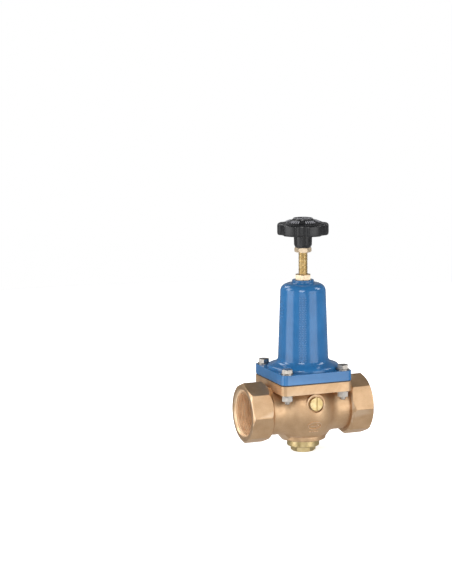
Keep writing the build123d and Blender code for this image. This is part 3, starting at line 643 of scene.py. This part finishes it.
class Nodes:
    """Short-hand for building one material's node tree."""

    def __init__(self, name):
        self.material = bpy.data.materials.new(name)
        self.material.use_nodes = True
        self.tree = self.material.node_tree
        self.shader = self.tree.nodes["Principled BSDF"]
        self.place = self.add("ShaderNodeTexCoord").outputs["Object"]

    def add(self, kind, **settings):
        """A new node; settings name its attributes."""
        node = self.tree.nodes.new(kind)
        for key, value in settings.items():
            setattr(node, key, value)
        return node

    def put(self, value, socket):
        """Joins an output to a socket, or sets the socket to a number or an (r, g, b)."""
        if isinstance(value, bpy.types.NodeSocket):
            self.tree.links.new(value, socket)
        else:
            socket.default_value = (*value, 1) if isinstance(value, tuple) else value

    def noise(self, size_mm, detail=3.0, roughness=0.5, squeeze=(1, 1, 1)):
        """Noise whose features are about size_mm across, squeezed along each axis."""
        scaled = self.add("ShaderNodeMapping")
        scaled.inputs["Scale"].default_value = squeeze
        self.put(self.place, scaled.inputs["Vector"])
        node = self.add("ShaderNodeTexNoise")
        self.put(1 / (size_mm * MM), node.inputs["Scale"])
        self.put(detail, node.inputs["Detail"])
        self.put(roughness, node.inputs["Roughness"])
        self.put(scaled.outputs["Vector"], node.inputs["Vector"])
        return node.outputs["Fac"]

    def cells(self, size_mm):
        """Distance from the middles of random cells about size_mm across."""
        node = self.add("ShaderNodeTexVoronoi")
        self.put(1 / (size_mm * MM), node.inputs["Scale"])
        self.put(self.place, node.inputs["Vector"])
        return node.outputs["Distance"]

    def spread(self, value, low, high, start=0.35, end=0.65):
        """Maps a value from start..end to low..high."""
        node = self.add("ShaderNodeMapRange")
        for socket, number in (("From Min", start), ("From Max", end), ("To Min", low), ("To Max", high)):
            self.put(number, node.inputs[socket])
        self.put(value, node.inputs["Value"])
        return node.outputs["Result"]

    def math(self, operation, first, second=0.0):
        """One arithmetic step."""
        node = self.add("ShaderNodeMath", operation=operation)
        self.put(first, node.inputs[0])
        self.put(second, node.inputs[1])
        return node.outputs["Value"]

    def ramp(self, value, dark, light, start=0.35, end=0.65):
        """Colour going from dark to light as a value goes from start to end."""
        return self.mix(self.spread(value, 0, 1, start, end), dark, light)

    def mix(self, factor, first, second):
        """Mix of two colours, each a socket or an (r, g, b)."""
        node = self.add("ShaderNodeMix", data_type="RGBA")
        colours = [socket for socket in node.inputs if socket.type == "RGBA"]
        for value, socket in zip((factor, first, second), (node.inputs["Factor"], *colours)):
            self.put(value, socket)
        return next(socket for socket in node.outputs if socket.type == "RGBA")

    def pointiness(self, low, high, start, end):
        """Maps how sharply the surface bulges (above 0.5) or hollows (below 0.5)."""
        node = self.add("ShaderNodeNewGeometry")
        return self.spread(node.outputs["Pointiness"], low, high, start, end)

    def from_axis(self):
        """Distance along the pipe from the valve axis."""
        node = self.add("ShaderNodeSeparateXYZ")
        self.put(self.place, node.inputs[0])
        return self.math("ABSOLUTE", self.math("SUBTRACT", node.outputs["X"], AXIS.x))

    def bump(self, height_mm, value, below=None):
        """Bump whose relief is height_mm deep, on top of the bump given as below."""
        node = self.add("ShaderNodeBump")
        self.put(height_mm * MM, node.inputs["Distance"])
        self.put(value, node.inputs["Height"])
        if below is not None:
            self.put(below, node.inputs["Normal"])
        return node.outputs["Normal"]

    def finish(self, colour, roughness, normal, **fixed):
        """Joins the parts to the shader; fixed names sockets that keep one value."""
        self.put(colour, self.shader.inputs["Base Color"])
        self.put(roughness, self.shader.inputs["Roughness"])
        self.put(normal, self.shader.inputs["Normal"])
        for socket, value in fixed.items():
            self.shader.inputs[socket.replace("_", " ")].default_value = value
        return self.material


def cast_bronze():
    """Blasted bronze casting: mottled tone, fine grain, painted shade in its hollows, a painted highlight
    on its sharp edges, smoother machined ends.
    """
    nodes = Nodes("cast_bronze")
    colour = nodes.ramp(nodes.noise(18, 4.0), (0.60, 0.385, 0.215), (0.70, 0.47, 0.275))
    speckle = nodes.spread(nodes.noise(1.1, 3.0, 0.7), 0.0, 0.25, 0.40, 0.70)
    colour = nodes.mix(speckle, colour, (0.79, 0.60, 0.42))
    # Painted shade: darker brown where the surface hollows, in corners, creases and thread roots.
    colour = nodes.mix(nodes.pointiness(0.5, 0.0, 0.44, 0.495), colour, (0.24, 0.13, 0.07))
    # Painted highlight: paler bronze along sharp edges, where light would catch them.
    colour = nodes.mix(nodes.pointiness(0.0, 0.5, 0.53, 0.62), colour, (0.86, 0.68, 0.50))
    machined = nodes.spread(nodes.from_axis(), 0, 0.10, PORT_REACH - 1.9 * MM, PORT_REACH - 1.6 * MM)
    rough = nodes.math("SUBTRACT", nodes.spread(nodes.noise(5), 0.44, 0.54), machined)
    grain = nodes.bump(0.08, nodes.noise(0.9, 4.0, 0.65))
    pitted = nodes.bump(0.04, nodes.cells(2.4), grain)
    uneven = nodes.bump(0.15, nodes.noise(14, 2.0), pitted)
    return nodes.finish(colour, rough, uneven, Metallic=1.0)


def machined_bronze():
    """Freshly cut bronze of the port threads: bright, and paler still as painted light for the shaded
    bore, with fine cutting marks and dull stains.
    """
    nodes = Nodes("machined_bronze")
    # Partly painted light: the colour is lifted above cut bronze so that the shaded bore reads as lit.
    colour = nodes.ramp(nodes.noise(9, 4.0), (0.88, 0.64, 0.41), (0.97, 0.77, 0.55))
    marks = nodes.noise(0.4, 2.0, 0.6, squeeze=(1.0, 0.1, 0.1))
    colour = nodes.mix(nodes.spread(marks, 0.0, 0.2), colour, (0.78, 0.55, 0.34))
    polish = nodes.spread(nodes.noise(4), 0.42, 0.54)
    return nodes.finish(colour, polish, nodes.bump(0.004, marks), Metallic=0.8)


def turned_metal(name, dark, light, rough, metallic=1.0):
    """Machined metal: fine tool marks round a vertical axis, faint stains, and a painted highlight on its
    sharp edges.
    """
    nodes = Nodes(name)
    marks = nodes.noise(0.25, 2.0, squeeze=(0.08, 0.08, 1.0))
    colour = nodes.ramp(nodes.noise(7, 4.0, 0.6), dark, light)
    colour = nodes.mix(nodes.spread(marks, 0.0, 0.22), colour, dark)
    # Painted highlight: sharp edges lightened towards the light colour, where light would catch them.
    colour = nodes.mix(nodes.pointiness(0.0, 0.4, 0.53, 0.62), colour, light)
    polish = nodes.spread(nodes.noise(3), rough - 0.05, rough + 0.07)
    return nodes.finish(colour, polish, nodes.bump(0.012, marks), Metallic=metallic)


def blue_paint():
    """Semi-gloss blue enamel over a casting, with slight orange peel, a painted highlight on its sharp
    edges and painted shade in its hollows.
    """
    nodes = Nodes("blue_paint")
    colour = nodes.ramp(nodes.noise(22), (0.015, 0.098, 0.245), (0.020, 0.118, 0.285))
    # Painted highlight: paler blue along sharp edges, where light would catch them.
    colour = nodes.mix(nodes.pointiness(0.0, 0.3, 0.53, 0.60), colour, (0.09, 0.23, 0.46))
    # Painted shade: darker blue where the surface hollows, in corners and creases.
    colour = nodes.mix(nodes.pointiness(0.4, 0.0, 0.44, 0.495), colour, (0.010, 0.045, 0.14))
    rough = nodes.spread(nodes.noise(6, 4.0, 0.6), 0.13, 0.22)
    casting = nodes.bump(0.07, nodes.noise(4.5, 2.0))
    peel = nodes.bump(0.012, nodes.noise(0.9, 2.0), casting)
    return nodes.finish(colour, rough, peel, Specular_IOR_Level=0.55)


def soft_matt(name, dark, light, rough):
    """Plastic, rubber or fibre: a faint mottle, a fine texture and a painted highlight on its sharp
    edges.
    """
    nodes = Nodes(name)
    mottle = nodes.noise(6, 4.0, 0.55)
    colour = nodes.ramp(mottle, dark, light)
    # Painted highlight: a paler colour along sharp edges, where light would catch them.
    edge_highlight = tuple(min(2.5 * value + 0.02, 0.85) for value in light)
    colour = nodes.mix(nodes.pointiness(0.0, 0.5, 0.53, 0.60), colour, edge_highlight)
    polish = nodes.spread(mottle, rough - 0.06, rough + 0.06)
    return nodes.finish(colour, polish, nodes.bump(0.03, nodes.noise(0.8, 3.0, 0.6)))


MATERIALS = {
    "cast_bronze": cast_bronze(),
    "machined_bronze": machined_bronze(),
    "brass": turned_metal("brass", (0.60, 0.45, 0.20), (0.75, 0.60, 0.33), 0.39),
    "pale_brass": turned_metal("pale_brass", (0.64, 0.50, 0.34), (0.76, 0.62, 0.45), 0.38, 0.75),
    "blue_paint": blue_paint(),
    "black_plastic": soft_matt("black_plastic", (0.004, 0.004, 0.005), (0.008, 0.008, 0.009), 0.32),
    # Painted sheen: a paler grey plastic that stands in for light catching the wheel's raised marks.
    "painted_sheen_plastic": soft_matt("painted_sheen_plastic", (0.05, 0.05, 0.056), (0.12, 0.12, 0.13), 0.30),
    "zinc_steel": turned_metal("zinc_steel", (0.30, 0.28, 0.26), (0.46, 0.43, 0.39), 0.34),
    "stainless": turned_metal("stainless", (0.46, 0.46, 0.45), (0.64, 0.64, 0.62), 0.30),
    "spring_steel": turned_metal("spring_steel", (0.10, 0.10, 0.11), (0.20, 0.20, 0.21), 0.42),
    "rubber": soft_matt("rubber", (0.010, 0.010, 0.010), (0.022, 0.021, 0.020), 0.62),
    "fibre_seal": soft_matt("fibre_seal", (0.10, 0.055, 0.035), (0.17, 0.095, 0.06), 0.70),
    "white_plastic": soft_matt("white_plastic", (0.62, 0.61, 0.58), (0.72, 0.71, 0.68), 0.42),
}


def dress_cad_nodes():
    """Gives every CAD node the material of its slot in the record."""
    for part in frame["record"]["subparts"]:
        for slot in frame["nodes"][part["node"]].material_slots:
            slot.material = MATERIALS[part["material_slot"]]


# Stage

FLOOR_RADIUS = 1.4
FLOOR_GLOW = 0.7                     # lifts the floor to the white of the background


def add_floor():
    """Plain pale floor at the valve's lowest point."""
    builder = bmesh.new()
    bmesh.ops.create_circle(builder, cap_ends=True, radius=FLOOR_RADIUS, segments=96)
    bmesh.ops.translate(builder, verts=builder.verts, vec=(AXIS.x, AXIS.y, CAD_BOX[0][2]))
    mesh = bpy.data.meshes.new("floor")
    builder.to_mesh(mesh)
    builder.free()
    nodes = Nodes("pale_floor")
    tone = nodes.ramp(nodes.noise(400), (0.90, 0.90, 0.90), (0.92, 0.92, 0.92))
    rough = nodes.spread(nodes.noise(50), 0.85, 0.95)
    glow = {"Emission_Color": (1, 1, 1, 1), "Emission_Strength": FLOOR_GLOW}
    mesh.materials.append(nodes.finish(tone, rough, nodes.bump(0.01, nodes.noise(3)), **glow))
    floor = bpy.data.objects.new("floor", mesh)
    bpy.context.scene.collection.objects.link(floor)
    floor.visible_glossy = False
    floor.visible_shadow = False


CAMERA_ELEVATION = 11.02             # seen from the valve axis at PIVOT_HEIGHT
CAMERA_DISTANCE = 2.6
PIVOT_HEIGHT = 0.070
AIM_LEFT = 0.0985                    # the picture's centre is this far left of the valve axis
AIM_HEIGHT = 0.1514
CAMERA_ROLL = 0.4                    # the valve leans a little left in the picture
LENS_MM = 124.56
SENSOR_MM = 36.0


def add_camera():
    """Camera at the photograph's viewing angle."""
    tilt = radians(CAMERA_ELEVATION)
    place = AXIS + outward(VIEW_BEARING) * cos(tilt) * CAMERA_DISTANCE
    place.z = PIVOT_HEIGHT + sin(tilt) * CAMERA_DISTANCE
    aim = AXIS - outward(VIEW_BEARING + 90) * AIM_LEFT
    aim.z = AIM_HEIGHT
    data = bpy.data.cameras.new("camera")
    data.lens = LENS_MM
    data.sensor_width = SENSOR_MM
    camera = bpy.data.objects.new("camera", data)
    camera.location = place
    roll = Quaternion((0, 0, 1), -radians(CAMERA_ROLL))
    camera.rotation_euler = ((aim - place).to_track_quat("-Z", "Y") @ roll).to_euler()
    bpy.context.scene.collection.objects.link(camera)
    bpy.context.scene.camera = camera


LIGHT_AIM_HEIGHT = 0.09


def add_softbox(name, bearing, elevation, distance, width, tall, watts):
    """Area light aimed at the middle of the valve."""
    data = bpy.data.lights.new(name, "AREA")
    data.shape = "RECTANGLE"
    data.size = width
    data.size_y = tall
    data.energy = watts
    light = bpy.data.objects.new(name, data)
    middle = AXIS + UP * LIGHT_AIM_HEIGHT
    tilt = radians(elevation)
    way = outward(bearing) * cos(tilt)
    way.z = sin(tilt)
    light.location = middle + way * distance
    light.rotation_euler = (-way).to_track_quat("-Z", "Y").to_euler()
    bpy.context.scene.collection.objects.link(light)
    return light


def add_lights():
    """Tall side softboxes, smaller high ones, and an overhead light left out of reflections."""
    # name, bearing, elevation, distance, width, height, watts
    add_softbox("side_left", -90, 6, 1.6, 1.1, 1.5, 12)
    add_softbox("side_right", 27, 6, 1.6, 1.1, 1.5, 11)
    add_softbox("fill_front", -26, -3, 2.4, 1.3, 1.3, 7)
    add_softbox("key_front", -31, 36, 1.8, 0.65, 0.75, 11)
    add_softbox("key_left", -116, 38, 1.8, 0.5, 0.7, 7)
    add_softbox("key_right", 80, 40, 1.8, 0.5, 0.7, 8)
    add_softbox("rim_back", -158, 40, 1.8, 0.6, 0.6, 5)
    overhead = add_softbox("overhead", 0, 89, 2.2, 3.0, 3.0, 36)
    overhead.visible_glossy = False


SURROUND_GREYS = (
    (0.0, 0.60),
    (0.30, 0.58),
    (0.44, 0.25),
    (0.5, 0.15),
    (0.58, 0.38),
    (0.66, 0.22),
    (0.78, 0.12),
    (0.91, 0.18),
    (0.95, 0.10),
    (1.0, 0.06),
)


def add_surround():
    """Surroundings: white behind the valve, and grey with a dark ceiling in its reflections."""
    world = bpy.data.worlds.new("surround")
    world.use_nodes = True
    nodes = world.node_tree.nodes
    links = world.node_tree.links
    ramp = nodes.new("ShaderNodeValToRGB")
    while len(ramp.color_ramp.elements) < len(SURROUND_GREYS):
        ramp.color_ramp.elements.new(0.5)
    for element, (position, grey) in zip(ramp.color_ramp.elements, SURROUND_GREYS):
        element.position = position
        element.color = (grey, grey, grey, 1)
    place = nodes.new("ShaderNodeTexCoord")
    split = nodes.new("ShaderNodeSeparateXYZ")
    height = nodes.new("ShaderNodeMapRange")
    height.inputs["From Min"].default_value = -1
    path = nodes.new("ShaderNodeLightPath")
    seen = nodes.new("ShaderNodeMixRGB")
    seen.inputs["Color2"].default_value = (1, 1, 1, 1)
    links.new(place.outputs["Generated"], split.inputs[0])
    links.new(split.outputs["Z"], height.inputs["Value"])
    links.new(height.outputs["Result"], ramp.inputs["Fac"])
    links.new(path.outputs["Is Camera Ray"], seen.inputs["Fac"])
    links.new(ramp.outputs["Color"], seen.inputs["Color1"])
    links.new(seen.outputs["Color"], nodes["Background"].inputs["Color"])
    bpy.context.scene.world = world


dress_cad_nodes()
rounded_casting("valve_body", "rounded_body", "cast_bronze")
rounded_casting("spring_bonnet", "rounded_bonnet", "blue_paint")
threaded_spindle()
port_threads()
set_spring()
closing_spring()
diaphragm_sectors()
handwheel()
wheel_marks()
bell_marks()
body_marks()
add_floor()
add_camera()
add_lights()
add_surround()
bpy.context.scene.view_settings.view_transform = "Standard"

bpy.context.view_layer.update()
